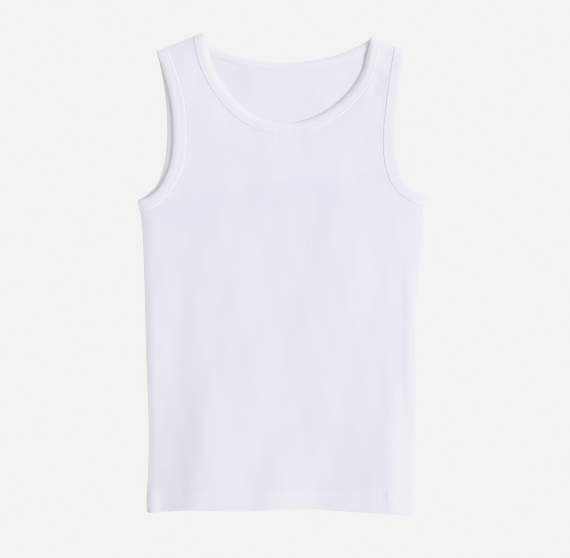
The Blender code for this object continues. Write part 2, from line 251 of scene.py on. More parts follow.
# Smaller creases, from a low end to a high one; left is the left side going up
Crease = namedtuple("Crease", "x_low y_low x_high y_high fade left_width right_width height")
FRONT_CREASES = table(
    Crease,
    # Left side of the body: loft beside the fold, and the back's roll beside the front's edge
    (-133, -130, -134, 76, 60, 12, 17, 0.45),
    (-106, -140, -107, 50, 60, 14, 15, -0.3),
    (-84, -80, -84, 60, 60, 22, 60, 0.6),
    (-138, -252, -138, -226, 14, 3.5, 7, 0.35),
    (-127, -254, -126, -230, 16, 6, 18, -0.4),
    # Right side of the body
    (129, -135, 129, 10, 40, 5, 5, 0.3),
    (109.0, -240, 108.7, -224, 7, 2.5, 7, 0.3),
    (88, -66, 96, 12, 30, 13, 8, -0.22),
    (50, -60, 55, 90, 60, 26, 60, 0.9),
    # Strap and neck
    (91, 186, 100, 207, 8, 3, 8, -0.5),
    (-114, 108, -119, 196, 30, 12, 20, 0.15),
    (-6, 147.5, 22, 148, 8, 3, 3, -0.28),
    # A faint line across the chest
    (-108, 81, -47.5, 90, 12, 2, 7, -0.12),
    (-47.5, 90, 20, 103, 14, 2, 7, -0.12),
    (20, 103, 97, 104, 14, 2, 7, -0.12),
)
BACK_CREASES = table(
    Crease,
    (-90, 20, -70, 118, 40, 10, 16, 0.35),
    (35, -60, 60, 120, 50, 14, 12, 0.3),
    (-20, -190, -34, 20, 60, 16, 12, 0.3),
)

# Low, wide unevenness that cloth keeps when it is smoothed out by hand
Wave = namedtuple("Wave", "length_x length_y start height")
WAVES = table(
    Wave,
    (61.0, 310.0, 0.4, 0.10),
    (38.0, -170.0, 2.1, 0.05),
    (23.0, 96.0, 4.0, 0.03),
    (-90.0, 74.0, 1.2, 0.05),
)

# Mesh
Lattice = namedtuple("Lattice", "across along")
FRONT_LATTICE = Lattice(across=2.2, along=3.6)
BACK_LATTICE = Lattice(across=3.0, along=5.0)
INSIDE_OUTLINE = 1
SAME_POINT = 1e-4
ROLL_ROWS = (0.05, 0.13, 0.24, 0.36, 0.6, 0.95, 1.5, 2.2, 3.2, 4.4, 5.8, 7.4)
ROW_CLEARANCE = 0.03
ROW_SPACING = 0.06
FILLING_CLEARANCE = 0.45
BINDING_STEP = 1.5
EDGE_STEP = 3.5
HEM_EDGE_STEP = 1.8
SEAM_ROWS = (0.25, 0.7, 1.3, 2.2, 3.4)
SEAM_MARKS = (0.0, 0.7, 1.5, 2.6)
HEM_ROWS = (0.08, 0.25, 0.5, 0.8, 1.4)


def unit(vectors):
    return vectors / np.linalg.norm(vectors, axis=-1, keepdims=True)


def square_to(headings):
    """Directions a quarter turn to the right of the headings."""
    return np.stack((headings[..., 1], -headings[..., 0]), axis=-1)


def smoothstep(value):
    value = np.clip(value, 0.0, 1.0)
    return value * value * (3 - 2 * value)


def quarter_round(share):
    """Height share of a rounded edge, at a share of its depth from the edge."""
    share = np.clip(share, 0.0, 1.0)
    return np.sqrt(1 - (1 - share) ** 2)


def rolled_share(share, blunt, layer):
    """Height share of a layer near a fold.

    The back curls up to it. The front turns tightly up to the share blunt,
    and then lifts slowly.
    """
    if layer == "back":
        return quarter_round(share)
    tight = quarter_round(share * ROLL / TIGHT_ROLL)
    slow = 1 - (1 - np.clip(share, 0.0, 1.0)) ** 2
    return blend(slow, tight, blunt)


def blend(first, second, share):
    """The first value where the share is 0 and the second where it is 1."""
    return first + (second - first) * share


def lopsided(offset, row):
    """A bell with the row's own width on each side."""
    return bell(offset, np.where(offset < 0, row.left_width, row.right_width))


class Edge:
    """A smooth plan curve through a table's rows, measured along its length."""

    SAMPLES = 16

    def __init__(self, rows):
        rows = np.array(rows, dtype=float)
        self.points = np.array(list(self.smoothed(rows)))
        steps = np.linalg.norm(np.diff(self.points, axis=0), axis=1)
        self.marks = np.concatenate(([0.0], np.cumsum(steps)))
        self.length = self.marks[-1]

    def smoothed(self, rows):
        """Catmull-Rom points, with each end's row mirrored beyond it."""
        before = 2 * rows[0] - rows[1]
        after = 2 * rows[-1] - rows[-2]
        padded = np.vstack((before, rows, after))
        for a, b, c, d in zip(padded, padded[1:], padded[2:], padded[3:]):
            for t in np.arange(self.SAMPLES) / self.SAMPLES:
                line = 2 * b + (c - a) * t
                bend = (2 * a - 5 * b + 4 * c - d) * t**2 + (3 * b - a - 3 * c + d) * t**3
                yield (line + bend) / 2
        yield rows[-1]

    def at(self, distances):
        places = [np.interp(distances, self.marks, column) for column in self.points.T]
        return np.stack(places, axis=-1)

    def heading(self, distances):
        reach = 1.0
        ahead = self.at(np.minimum(distances + reach, self.length))
        behind = self.at(np.maximum(distances - reach, 0.0))
        return unit(ahead - behind)

    def spaced(self, step):
        """Points about a step apart, ends included."""
        return self.at(marks_between(0, self.length, step))


def marks_between(start, end, step):
    count = max(1, round(abs(end - start) / step))
    return np.linspace(start, end, count + 1)


def nearest_on(points, line):
    """Distance from each point to a chain of points, and how far along it that is."""
    nearest = np.full(len(points), np.inf)
    marks = np.zeros(len(points))
    passed = 0.0
    for start, end in zip(line[:-1], line[1:]):
        along = end - start
        length = np.linalg.norm(along)
        share = np.clip((points - start) @ along / length**2, 0.0, 1.0)
        gap = np.linalg.norm(points - start - share[:, None] * along, axis=1)
        closer = gap < nearest
        nearest = np.where(closer, gap, nearest)
        marks = np.where(closer, passed + share * length, marks)
        passed += length
    return nearest, marks


LEFT_SIDE_FOLD = Edge(LEFT_SIDE)
RIGHT_SIDE_FOLD = Edge(RIGHT_SIDE)
LEFT_SHOULDER_FOLD = Edge((LEFT_NECK_CORNER, LEFT_SHOULDER_CORNER))
RIGHT_SHOULDER_FOLD = Edge((RIGHT_NECK_CORNER, RIGHT_SHOULDER_CORNER))
FOLD_LINES = (LEFT_SIDE_FOLD, RIGHT_SIDE_FOLD, LEFT_SHOULDER_FOLD, RIGHT_SHOULDER_FOLD)
LEFT_BLUNT = 0.6
RIGHT_BLUNT = 0.75
SHOULDER_BLUNT = 0.5
BLUNTS = (LEFT_BLUNT, RIGHT_BLUNT, SHOULDER_BLUNT, SHOULDER_BLUNT)
HEM = Edge(HEM_LINE)


def tuck_at(to_end):
    """How far the panel reaches in under its binding, less towards a fold."""
    share = smoothstep((to_end - TUCK_STARTS) / (TUCK_FULL - TUCK_STARTS))
    return blend(-SEAM_GAP, TUCK, share)


@dataclass
class BoundEdge:
    """An open edge of one panel, with the strip of binding folded around it.

    It runs from one fold to the next. turn is 1 where the cloth is on its
    right and -1 where it is on its left, and ends are the directions of the
    folds, from the open edge into the cloth.
    """

    layer: str
    rows: tuple
    turn: int
    ends: tuple
    end_blunt: float
    widths: tuple = EVEN_WIDTHS
    inner_crown: float = CROWN
    press: float = PRESS
    swell: float = SWELL

    def __post_init__(self):
        self.edge = Edge(self.rows)
        self.length = self.edge.length

    def across(self, distances):
        square = self.turn * square_to(self.edge.heading(distances))
        at_start = 1 - smoothstep(distances / TURN_LENGTH)[..., None]
        at_end = 1 - smoothstep((self.length - distances) / TURN_LENGTH)[..., None]
        mixed = square * (1 - at_start - at_end)
        return unit(mixed + at_start * self.ends[0] + at_end * self.ends[1])

    def point(self, distances, depths):
        """Plan points at depths into the cloth from the open edge, bulged out at the underarm."""
        points = self.edge.at(distances) + np.asarray(depths)[..., None] * self.across(distances)
        corner = self.edge.points[-1]
        centre = corner + SWELL_CENTRE * unit(self.ends[0] + self.ends[1])
        away = np.linalg.norm(points - corner, axis=-1, keepdims=True)
        return points + self.swell * bell(away - SWELL_RING, SWELL_WIDTH) * (points - centre)

    def rise(self, distances):
        """Height share of the binding's outer face in its rolled ends."""
        blunt = np.where(distances < self.length / 2, SHOULDER_BLUNT, self.end_blunt)
        return rolled_share(self.to_end(distances) / ROLL, blunt, self.layer)

    def stations(self, step):
        """Distances along the edge, closer together in the rolled ends."""
        start = np.array((0.0,) + ROLL_ROWS)
        count = round((self.length - 2 * ROLL) / step)
        run = np.linspace(ROLL, self.length - ROLL, count + 1)
        return np.concatenate((start, run, self.length - start[::-1]))

    def to_end(self, distances):
        return np.minimum(distances, self.length - distances)

    def width(self, distances):
        return np.interp(distances, *zip(*self.widths))

    def seam(self, beyond=0.0):
        """Plan points along the seam, where the binding's outer leg ends."""
        distances = self.stations(EDGE_STEP)
        return self.point(distances, self.width(distances) + beyond)

    def seam_row(self, beyond):
        """A line beside the seam, clear of the rolled folds."""
        rolled = len(ROLL_ROWS) + 1
        return self.seam(beyond)[rolled:-rolled]

    def tucked_edge(self):
        """The panel's own edge, in under the binding."""
        return self.seam(-tuck_at(self.to_end(self.stations(EDGE_STEP))))


def direction(start, end):
    return unit(np.subtract(end, start))


NECK_ENDS = (
    direction(LEFT_NECK_CORNER, LEFT_SHOULDER_CORNER),
    direction(RIGHT_NECK_CORNER, RIGHT_SHOULDER_CORNER),
)
LEFT_ENDS = (direction(LEFT_SHOULDER_CORNER, LEFT_NECK_CORNER), direction(*LEFT_SIDE[:2]))
RIGHT_ENDS = (direction(RIGHT_SHOULDER_CORNER, RIGHT_NECK_CORNER), direction(*RIGHT_SIDE[:2]))

Opening = namedtuple("Opening", "front back")
NECK = Opening(
    front=BoundEdge(
        "front", FRONT_NECK, 1, NECK_ENDS, SHOULDER_BLUNT, NECK_FRONT_WIDTHS, press=0.55, swell=0.0
    ),
    back=BoundEdge("back", BACK_NECK, 1, NECK_ENDS, SHOULDER_BLUNT, NECK_BACK_WIDTHS, swell=0.0),
)
LEFT_ARMHOLE = Opening(
    front=BoundEdge(
        "front", LEFT_ARMHOLE_FRONT, -1, LEFT_ENDS, LEFT_BLUNT, LEFT_FRONT_WIDTHS, press=0.25
    ),
    back=BoundEdge(
        "back", LEFT_ARMHOLE_BACK, -1, LEFT_ENDS, LEFT_BLUNT, inner_crown=BACK_CROWN, press=0.0
    ),
)
RIGHT_ARMHOLE = Opening(
    front=BoundEdge(
        "front", RIGHT_ARMHOLE_FRONT, 1, RIGHT_ENDS, RIGHT_BLUNT, RIGHT_FRONT_WIDTHS, press=0.0
    ),
    back=BoundEdge("back", RIGHT_ARMHOLE_BACK, 1, RIGHT_ENDS, RIGHT_BLUNT),
)
OPENINGS = (NECK, LEFT_ARMHOLE, RIGHT_ARMHOLE)


# Heights of the cloth

def hem_height(points):
    """Distance up from the hem's lower edge."""
    return points[:, 1] - np.interp(points[:, 0], *HEM.points.T)


def hem_share(points):
    """1 on the turned-up hem, 0 above it."""
    above = hem_height(points) - HEM_DEPTH + HEM_STEP / 2
    return 1 - smoothstep(above / HEM_STEP)


def fold_rise(points, folds):
    """Rise of the long folds, summed."""
    x, y = points.T
    rise = np.zeros(len(points))
    for fold in folds:
        up = np.clip((y - fold.y_full) / (fold.y_top - fold.y_full), 0.0, 1.0)
        offset = x - blend(fold.x_hem, fold.x_top, up)
        rise += fold.height * (1 - smoothstep(up)) * lopsided(offset, fold)
    return rise


def crease_rise(points, creases):
    """Rise of the smaller ridges, and of troughs where it is negative, summed."""
    rise = np.zeros(len(points))
    for crease in creases:
        low = np.array((crease.x_low, crease.y_low))
        run = np.array((crease.x_high, crease.y_high)) - low
        length = np.linalg.norm(run)
        run = run / length
        along = (points - low) @ run
        offset = (points - low) @ square_to(run)
        fade_in = smoothstep(along / crease.fade + 0.5)
        fade_out = smoothstep((length - along) / crease.fade + 0.5)
        rise += crease.height * fade_in * fade_out * lopsided(offset, crease)
    return rise


def wave_rise(points):
    x, y = points.T
    return sum(
        wave.height * np.sin(2 * math.pi * (x / wave.length_x + y / wave.length_y) + wave.start)
        for wave in WAVES
    )


def neck_rest(points):
    """How much lower the front lies where its neck edge rests on the back."""
    edge = NECK.front.edge
    distance, mark = nearest_on(points, edge.points)
    right = smoothstep((mark / edge.length - NECK_REST_CHANGES) / NECK_REST_CHANGE)
    near = 1 - smoothstep(distance / blend(*NECK_REST_WIDTHS, right))
    to_shoulder = np.minimum(mark, edge.length - mark)
    return NECK_REST * near * smoothstep((to_shoulder - NECK_REST_STARTS) / NECK_REST_RUN)


def furrow(points):
    distance, mark = nearest_on(points, LEFT_SIDE_FOLD.points)
    begun = smoothstep((mark - FURROW_STARTS) / FURROW_FADE)
    ended = smoothstep((mark - FURROW_ENDS) / FURROW_FADE)
    return (begun - ended) * FURROW.at(distance - FURROW_INSET)


def front_top(points):
    """Outer height of the front's cloth, away from its rolled folds."""
    lift = HEM_LIFT * (1 - smoothstep(hem_height(points) / HEM_LIFT_REACH))
    folds = fold_rise(points, FRONT_FOLDS) + crease_rise(points, FRONT_CREASES)
    return FRONT_HEIGHT + lift + folds + wave_rise(points) - neck_rest(points) + furrow(points)


def wall_at(points):
    return blend(WALL, HEM_WALL, hem_share(points))


def rolled_shares(points, layer):
    """Height shares of a panel's outer and inner faces near its folds."""
    outer = np.ones(len(points))
    inner = np.ones(len(points))
    for fold, blunt in zip(FOLD_LINES, BLUNTS):
        distance, _ = nearest_on(points, fold.points)
        outer = np.minimum(outer, rolled_share(distance / ROLL, blunt, layer))
        inner = np.minimum(inner, rolled_share((distance - WALL) / (ROLL - WALL), blunt, layer))
    return outer, inner


def seam_places(points, layer):
    """Distance beyond the nearest binding's outer leg, and place along that seam."""
    nearest = np.full(len(points), np.inf)
    marks = np.zeros(len(points))
    for opening in OPENINGS:
        bound = getattr(opening, layer)
        distance, mark = nearest_on(points, bound.seam())
        to_edge, edge_mark = nearest_on(points, bound.edge.points)
        distance = np.where(to_edge < bound.width(edge_mark) - SEAM_GAP, -distance, distance)
        closer = np.abs(distance) < np.abs(nearest)
        nearest = np.where(closer, distance, nearest)
        marks = np.where(closer, mark, marks)
    return nearest, marks


def pucker(marks):
    """Uneven small waves along a seam, from -1 to 1, where the thread gathers the cloth."""
    turns = 2 * math.pi * marks
    drift = np.sin(turns / PUCKER_DRIFT_LENGTH + 1.0)
    waves = np.sin(turns / PUCKER_LENGTH + PUCKER_SWAY * drift)
    waves += SHORT_PUCKER_SHARE * np.sin(turns / SHORT_PUCKER_LENGTH + 2.0)
    waves += PUCKER_DRIFT_SHARE * drift
    return waves / (1 + SHORT_PUCKER_SHARE + PUCKER_DRIFT_SHARE)


def hem_sewing(points):
    """The hem's two sewn lines, and its cloth puffed between and below them."""
    height = hem_height(points)
    rise = sum(HEM_GROOVE.at(height - row) for row in HEM_STITCH_ROWS)
    rise += HEM_PUFF.at(height - HEM_DEPTH / 2)
    return rise + pucker(HEM_PUCKER_PACE * points[:, 0]) * HEM_PUCKER.at(height - HEM_DEPTH)


def hem_rounding(points, wall):
    """How far each face turns in towards the middle of the wall at the hem's edge."""
    turned = HEM_ROUND * (1 - quarter_round(hem_height(points) / HEM_ROUND))
    return np.minimum(turned, wall / 2 - HEM_CORE)


def front_faces(points):
    """Outer and inner heights of the front panel."""
    outer_share, inner_share = rolled_shares(points, "front")
    beyond, marks = seam_places(points, "front")
    top = front_top(points) + hem_sewing(points)
    top += smoothstep(beyond / SEAM_PUFF_STARTS) * SEAM_PUFF.at(beyond)
    top += pucker(marks) * FRONT_PUCKER.at(beyond)
    wall = wall_at(points)
    turned = hem_rounding(points, wall)
    seam = FOLD_HEIGHT + SEAM_GAP / 2
    outer = blend(seam + SEAM_GAP, top - turned, outer_share)
    return outer, blend(seam, top - wall + turned, inner_share)


def back_faces(points):
    """Outer (lower) and inner (upper) heights of the back panel."""
    outer_share, inner_share = rolled_shares(points, "back")
    beyond, marks = seam_places(points, "back")
    lift = fold_rise(points, BACK_FOLDS)
    lift += BINDING_PROUD * (1 - smoothstep(beyond / BACK_LIFT_REACH))
    seam = FOLD_HEIGHT - SEAM_GAP / 2
    wall = wall_at(points)
    turned = hem_rounding(points - (0, BACK_HEM_SETBACK), wall)
    loose = np.maximum(crease_rise(points, BACK_CREASES) + wave_rise(points) + BACK_LOFT, 0.0)
    loose += pucker(marks) * BACK_PUCKER.at(beyond)
    top = lift + wall + loose * (1 - hem_share(points))
    outer = blend(seam - SEAM_GAP, lift + turned, outer_share)
    return outer, blend(seam, top - turned, inner_share)


# Panels

def fold_marks(fold, layer):
    """Distances along a fold, from the binding at its start to the one at its end or to the hem."""
    beside_seam = BINDING_WIDTH + SEAM_GAP + np.array(SEAM_MARKS)
    start = beside_seam
    if fold is LEFT_SHOULDER_FOLD:
        start = beside_seam + getattr(NECK, layer).width(0.0) - BINDING_WIDTH
    end = np.array([fold.length])
    if fold in (LEFT_SHOULDER_FOLD, RIGHT_SHOULDER_FOLD):
        end = fold.length - beside_seam[::-1]
    middle = marks_between(start[-1], end[0], EDGE_STEP)[1:-1]
    return np.concatenate((start, middle, end))


def panel_outline(layer, hem_setback):
    """The panel's plan outline, counter-clockwise from the hem's left end."""
    neck = getattr(NECK, layer).tucked_edge()
    left = getattr(LEFT_ARMHOLE, layer).tucked_edge()
    right = getattr(RIGHT_ARMHOLE, layer).tucked_edge()
    hem = HEM.spaced(HEM_EDGE_STEP) + (0, hem_setback)
    left_side, right_side, left_shoulder, right_shoulder = (
        fold.at(fold_marks(fold, layer))[1:-1] for fold in FOLD_LINES
    )
    right_run = (right_side[::-1], right[::-1], right_shoulder[::-1])
    return np.vstack((hem, *right_run, neck[::-1], left_shoulder, left, left_side))


def inside(points, loop, clearance):
    """Which points are in the loop, at least the clearance from its edge."""
    crossings = np.zeros(len(points), dtype=int)
    for a, b in zip(loop, np.roll(loop, -1, axis=0)):
        spans = (a[1] > points[:, 1]) != (b[1] > points[:, 1])
        rise = b[1] - a[1] if b[1] != a[1] else 1.0
        at_x = a[0] + (points[:, 1] - a[1]) * (b[0] - a[0]) / rise
        crossings += spans & (points[:, 0] < at_x)
    nearest, _ = nearest_on(points, np.vstack((loop, loop[:1])))
    return (crossings % 2 == 1) & (nearest > clearance)


def guide_rows(layer, hem_setback):
    """Points along the rolled folds, the seams and the hem, where the cloth bends most."""
    rows = []
    for fold, turn in zip(FOLD_LINES, (-1, 1, -1, 1)):
        distances = fold_marks(fold, layer)[:-1]
        into = turn * square_to(fold.heading(distances))
        for depth in ROLL_ROWS:
            rows.append(fold.at(distances) + depth * into)
    for opening in OPENINGS:
        for beyond in SEAM_ROWS:
            rows.append(getattr(opening, layer).seam_row(beyond))
    hem_line = HEM.spaced(HEM_EDGE_STEP)[1:-1] + (0, hem_setback)
    steps = (HEM_DEPTH - HEM_STEP / 2, HEM_DEPTH + HEM_STEP / 2)
    for rise in HEM_ROWS + HEM_STITCH_ROWS + steps:
        rows.append(hem_line + (0, rise))
    return np.vstack(rows)


def lattice_points(lattice, loop):
    """Staggered rows of points over the whole of a panel."""
    low, high = loop.min(axis=0), loop.max(axis=0)
    rows = []
    for row, y in enumerate(np.arange(low[1], high[1], lattice.along)):
        x = np.arange(low[0], high[0], lattice.across) + (row % 2) * lattice.across / 2
        rows.append(np.stack((x, np.full(len(x), y)), axis=-1))
    return np.vstack(rows)


def kd_tree(points):
    tree = KDTree(len(points))
    for index, (x, y) in enumerate(points):
        tree.insert((x, y, 0.0), index)
    tree.balance()
    return tree


def far_from(points, others, clearance):
    tree = kd_tree(others)
    return np.array([tree.find((x, y, 0.0))[2] > clearance for x, y in points])


def thinned(points, clearance):
    """The points, leaving out each that is close to an earlier one."""
    tree = kd_tree(points)
    kept = np.ones(len(points), dtype=bool)
    for index, (x, y) in enumerate(points):
        if kept[index]:
            near = tree.find_range((x, y, 0.0), clearance)
            kept[[other for _, other, _ in near if other > index]] = False
    return points[kept]


def panel_mesh(layer, faces, lattice, hem_setback=0.0):
    """Points and faces of a panel: a thin closed wall over its outline."""
    loop = panel_outline(layer, hem_setback)
    rows = thinned(guide_rows(layer, hem_setback), ROW_SPACING)
    rows = rows[inside(rows, loop, ROW_CLEARANCE)]
    clearance = FILLING_CLEARANCE * lattice.across
    filling = lattice_points(lattice, loop)
    filling = filling[inside(filling, loop, HEM_ROWS[-1] + clearance)]
    for fold in FOLD_LINES:
        filling = filling[nearest_on(filling, fold.points)[0] > ROLL_ROWS[-1] + clearance]
    filling = filling[far_from(filling, rows, clearance)]
    plan = np.vstack((loop, rows, filling)).tolist()
    rim = list(range(len(loop)))
    points, _, triangles, *_ = delaunay_2d_cdt(plan, [], [rim], INSIDE_OUTLINE, SAME_POINT)
    points = np.array([tuple(point) for point in points])
    outer, inner = faces(points)
    return wall_between(points, outer, inner, triangles)


def wall_between(points, outer, inner, triangles):
    """Upper and lower faces over the same plan, closed around their rim."""
    count = len(points)
    upper = np.column_stack((points, np.maximum(outer, inner)))
    lower = np.column_stack((points, np.minimum(outer, inner)))
    triangles = np.array(triangles)
    edges = np.vstack((triangles[:, [0, 1]], triangles[:, [1, 2]], triangles[:, [2, 0]]))
    directed = {(a, b) for a, b in edges.tolist()}
    rim = [(a, b) for a, b in directed if (b, a) not in directed]
    faces = triangles.tolist() + (triangles[:, ::-1] + count).tolist()
    faces += [(b, a, a + count, b + count) for a, b in sorted(rim)]
    return np.vstack((upper, lower)), faces, np.vstack((points, points))


def quads_between(rings):
    """Quads that join each ring of point numbers to the next one."""
    turned = np.roll(rings, -1, axis=-1)
    corners = (rings[..., :-1, :], turned[..., :-1, :], turned[..., 1:, :], rings[..., 1:, :])
    return np.stack(corners, axis=-1).reshape(-1, 4)


# Bindings

def inner_leg_width(bound, distances):
    """Width of the strip's inner leg: narrower than the outer one, most so at the back."""
    share = smoothstep((bound.to_end(distances) - TUCK_STARTS) / INNER_LEG_RUN)
    return blend(INNER_LEG_AT_FOLD, INNER_LEGS[bound.layer], share)


def stitch_depth(bound, distances):
    """Depth of the row of stitches that holds both legs."""
    share = smoothstep(bound.to_end(distances) / STITCH_ROW_RUN)
    return blend(INNER_LEGS["front"], INNER_LEGS[bound.layer], share) - STITCH_INSET


def band_points(bound, distances, depths, levels):
    """Points of a binding. Level 1 is its outer face and 0 its inner one, BINDING_WALL apart.

    At a fold the strip turns from front to back: there its distances are
    measured on the outer face, and the inner face turns more tightly.
    """
    turned = np.clip(bound.to_end(distances) / ROLL, 0.0, 1.0)
    inward = BINDING_WALL * (1 - turned) * (1 - levels)
    shifted = distances + np.where(distances < bound.length / 2, inward, -inward)
    plan = bound.point(shifted, depths)
    if bound.layer == "front":
        top = front_top(plan.reshape(-1, 2)).reshape(plan.shape[:-1])
        flat_height = top + BINDING_PROUD - BINDING_WALL * (1 - levels)
    else:
        flat_height = np.maximum(BINDING_WALL * (1 - levels), 0.0)
    height = blend(FOLD_HEIGHT, flat_height, bound.rise(distances))
    return np.concatenate((plan, height[..., None]), axis=-1)


SectionPoint = namedtuple("SectionPoint", "depth level")
FOLDED_EDGE_TURNS = (90, 66, 42, 20, 0, -20, -42, -66, -90)
OUTER_LEG_INSETS = (0.0, 0.0, 0.1, 0.3, 0.6, 1.1)
OUTER_LEG_LEVELS = (1 - LEG, 0.78, 0.86, 0.925, 0.965, 1.0)
INNER_LEG_INSETS = (0.6, 0.25, 0.0, 0.0, 0.25)
INNER_LEG_LEVELS = (0.0, 0.03, 0.1, LEG - 0.05, LEG)
OUTER_GROOVE_STEPS = (1.2, 0.5, 0.0, -0.5, -1.2)
OUTER_FACE_SHARES = (0.78, 0.62, 0.46, 0.3)
INNER_FACE_SHARES = (0.35, 0.6, 0.82)
INNER_GROOVE_STEPS = (-0.6, 0.0)
LINING_BACK = (6.0, 3.0, 1.5)
LINING_TURN = table(SectionPoint, (0.85, 0.36), (0.7, 0.5), (0.85, 0.64))
LINING_OUT = (1.5, 3.0, 6.0, 9.0)


def folded_edge():
    """Depths and levels half-way around the strip's folded edge."""
    turns = [math.radians(turn) for turn in FOLDED_EDGE_TURNS]
    return [(EDGE_ROUND * (1 - math.cos(turn)), (1 + math.sin(turn)) / 2) for turn in turns]


def section(bound, distances):
    """Depths and levels around the strip's U-shaped section, at each distance."""
    ones = np.ones(len(distances))
    stitch = stitch_depth(bound, distances)
    outer = bound.width(distances)
    inner = inner_leg_width(bound, distances)
    columns = [(outer - inset, level) for inset, level in zip(OUTER_LEG_INSETS, OUTER_LEG_LEVELS)]
    columns += [(stitch + step * GROOVE.width, 1.0) for step in OUTER_GROOVE_STEPS]
    columns += [(stitch * share, 1.0) for share in OUTER_FACE_SHARES]
    columns += folded_edge()
    columns += [(stitch * share, 0.0) for share in INNER_FACE_SHARES]
    columns += [(stitch + step * GROOVE.width, 0.0) for step in INNER_GROOVE_STEPS]
    columns += [(inner - inset, level) for inset, level in zip(INNER_LEG_INSETS, INNER_LEG_LEVELS)]
    columns += [(depth, LEG) for depth in LINING_BACK]
    columns += LINING_TURN
    columns += [(depth, 1 - LEG) for depth in LINING_OUT]
    depths = np.stack([depth * ones for depth, _ in columns], axis=-1)
    levels = np.stack([level * ones for _, level in columns], axis=-1)
    return depths, levels


def band_relief(bound, distances, depths, levels):
    """Outward offset of the binding's faces: crown, stitch groove and small puckers."""
    stitch = stitch_depth(bound, distances)
    bulge = np.sin(math.pi * np.clip(depths / stitch, 0.0, 1.0))
    ripples = pucker(distances) * RIPPLE.at(depths - stitch)
    offset = CROWN * bulge + GROOVE.at(depths - stitch) + ripples
    outward = np.clip(1 - (1 - levels) / RELIEF_SHARE, 0.0, 1.0)
    inward = np.clip(1 - levels / RELIEF_SHARE, 0.0, 1.0)
    if bound.layer == "back":
        flat = bound.rise(distances)
        resting = np.minimum(offset, 0.0) + np.maximum(offset, 0.0) * (1 - flat)
        crown = (bound.inner_crown - CROWN) * smoothstep(bound.to_end(distances) / (2 * TURN_LENGTH))
        return outward * resting - inward * (offset + crown * bulge)
    return (outward - inward) * offset


def pressed(bound, distances, depths, levels):
    """Levels with the strip pressed thinner at its folded edge; its lower face stays in place."""
    press = bound.press * (1 - np.clip(depths / PRESS_DEPTH, 0.0, 1.0)) ** PRESS_EASE
    press = press * smoothstep(bound.to_end(distances) / (2 * ROLL))
    if bound.layer == "front":
        return levels * (1 - press)
    return 1 - (1 - levels) * (1 - press)


def strip_points(bound):
    distances = bound.stations(BINDING_STEP)
    depths, levels = section(bound, distances)
    spread = np.broadcast_to(distances[:, None], depths.shape)
    relief = band_relief(bound, spread, depths, levels)
    heights = pressed(bound, spread, depths, levels + relief / BINDING_WALL)
    points = band_points(bound, spread, depths, heights)
    around = np.where(levels > 0.5, depths, -depths)
    return points, np.stack((spread, around), axis=-1)


def binding_mesh(opening):
    """A closed loop of folded strip around an opening, front and back."""
    front, front_grain = strip_points(opening.front)
    back, back_grain = strip_points(opening.back)
    back_grain = back_grain + (opening.front.length, 0.0)
    sections = np.concatenate((front, back[1:-1][::-1]))
    grain = np.concatenate((front_grain, back_grain[1:-1][::-1]))
    index = np.arange(sections.size // 3).reshape(sections.shape[:2])
    # The corners are taken the other way round where the loop runs clockwise
    faces = quads_between(np.vstack((index, index[:1])))[:, ::-opening.front.turn]
    return sections.reshape(-1, 3), faces.tolist(), grain.reshape(-1, 2)


# Sewing

STITCH_LENGTH = 2.5
STITCH_PITCH = 3.0
THREAD = 0.17
STITCH_SIDES = 6
STITCH_SINK = 0.07
RESTING_STITCH_SINK = 0.26
PROBE_ALONG = 0.5
PROBE_BESIDE = 0.3
Unevenness = namedtuple("Unevenness", "reach pace")
STITCH_WANDERS = table(Unevenness, (0.08, 1.7), (0.05, 0.61))
STITCH_STRETCH = Unevenness(0.06, 2.3)
StitchRing = namedtuple("StitchRing", "along height radius")
STITCH_RINGS = table(
    StitchRing,
    (-0.5, -0.16, 0.45),
    (-0.36, 0.02, 0.9),
    (-0.12, 0.10, 1.0),
    (0.12, 0.10, 1.0),
    (0.36, 0.02, 0.9),
    (0.5, -0.16, 0.45),
)


def uneven(row, places):
    return row.reach * np.sin(row.pace * places)


def stitches(surface, outward, start, end):
    """Short bowed threads in a row.

    surface gives points for places along the row and beside it. outward is 1
    where it faces up and -1 where it faces down.
    """
    count = round((end - start) / STITCH_PITCH)
    places = start + (np.arange(count) + 0.5) * (end - start) / count
    beside = sum(uneven(wander, places) for wander in STITCH_WANDERS)
    centre = surface(places, beside)
    ahead = unit(surface(places + PROBE_ALONG, beside) - surface(places - PROBE_ALONG, beside))
    side = surface(places, beside + PROBE_BESIDE) - surface(places, beside - PROBE_BESIDE)
    normal = unit(np.cross(ahead, side))
    normal = np.where(outward * normal[:, 2:] < 0, -normal, normal)
    side = np.cross(normal, ahead)
    length = STITCH_LENGTH * (1 + uneven(STITCH_STRETCH, places))
    sink = STITCH_SINK if outward > 0 else RESTING_STITCH_SINK
    points = np.zeros((count, len(STITCH_RINGS), STITCH_SIDES, 3))
    for index, ring in enumerate(STITCH_RINGS):
        middle = centre + ahead * (ring.along * length)[:, None] + normal * (ring.height - sink)
        for corner in range(STITCH_SIDES):
            turn = 2 * math.pi * corner / STITCH_SIDES
            out = normal * math.sin(turn) + side * math.cos(turn)
            points[:, index, corner] = middle + THREAD * ring.radius * out
    return points


def joined_stitches(rows):
    """Points, faces and grain of all the rows, each stitch a closed tube."""
    points = np.concatenate(rows)
    index = np.arange(points.size // 3).reshape(points.shape[:3])
    faces = quads_between(index).tolist()
    faces += index[:, 0, ::-1].tolist() + index[:, -1].tolist()
    points = points.reshape(-1, 3)
    return points, faces, points[:, :2]


def on_band(bound, level):
    """The surface along a binding's row of stitches, on the face of that level."""

    def surface(places, beside):
        depths = stitch_depth(bound, places) + beside
        levels = np.full(len(places), level)
        relief = band_relief(bound, places, depths, levels)
        return band_points(bound, places, depths, levels + relief / BINDING_WALL)

    return surface


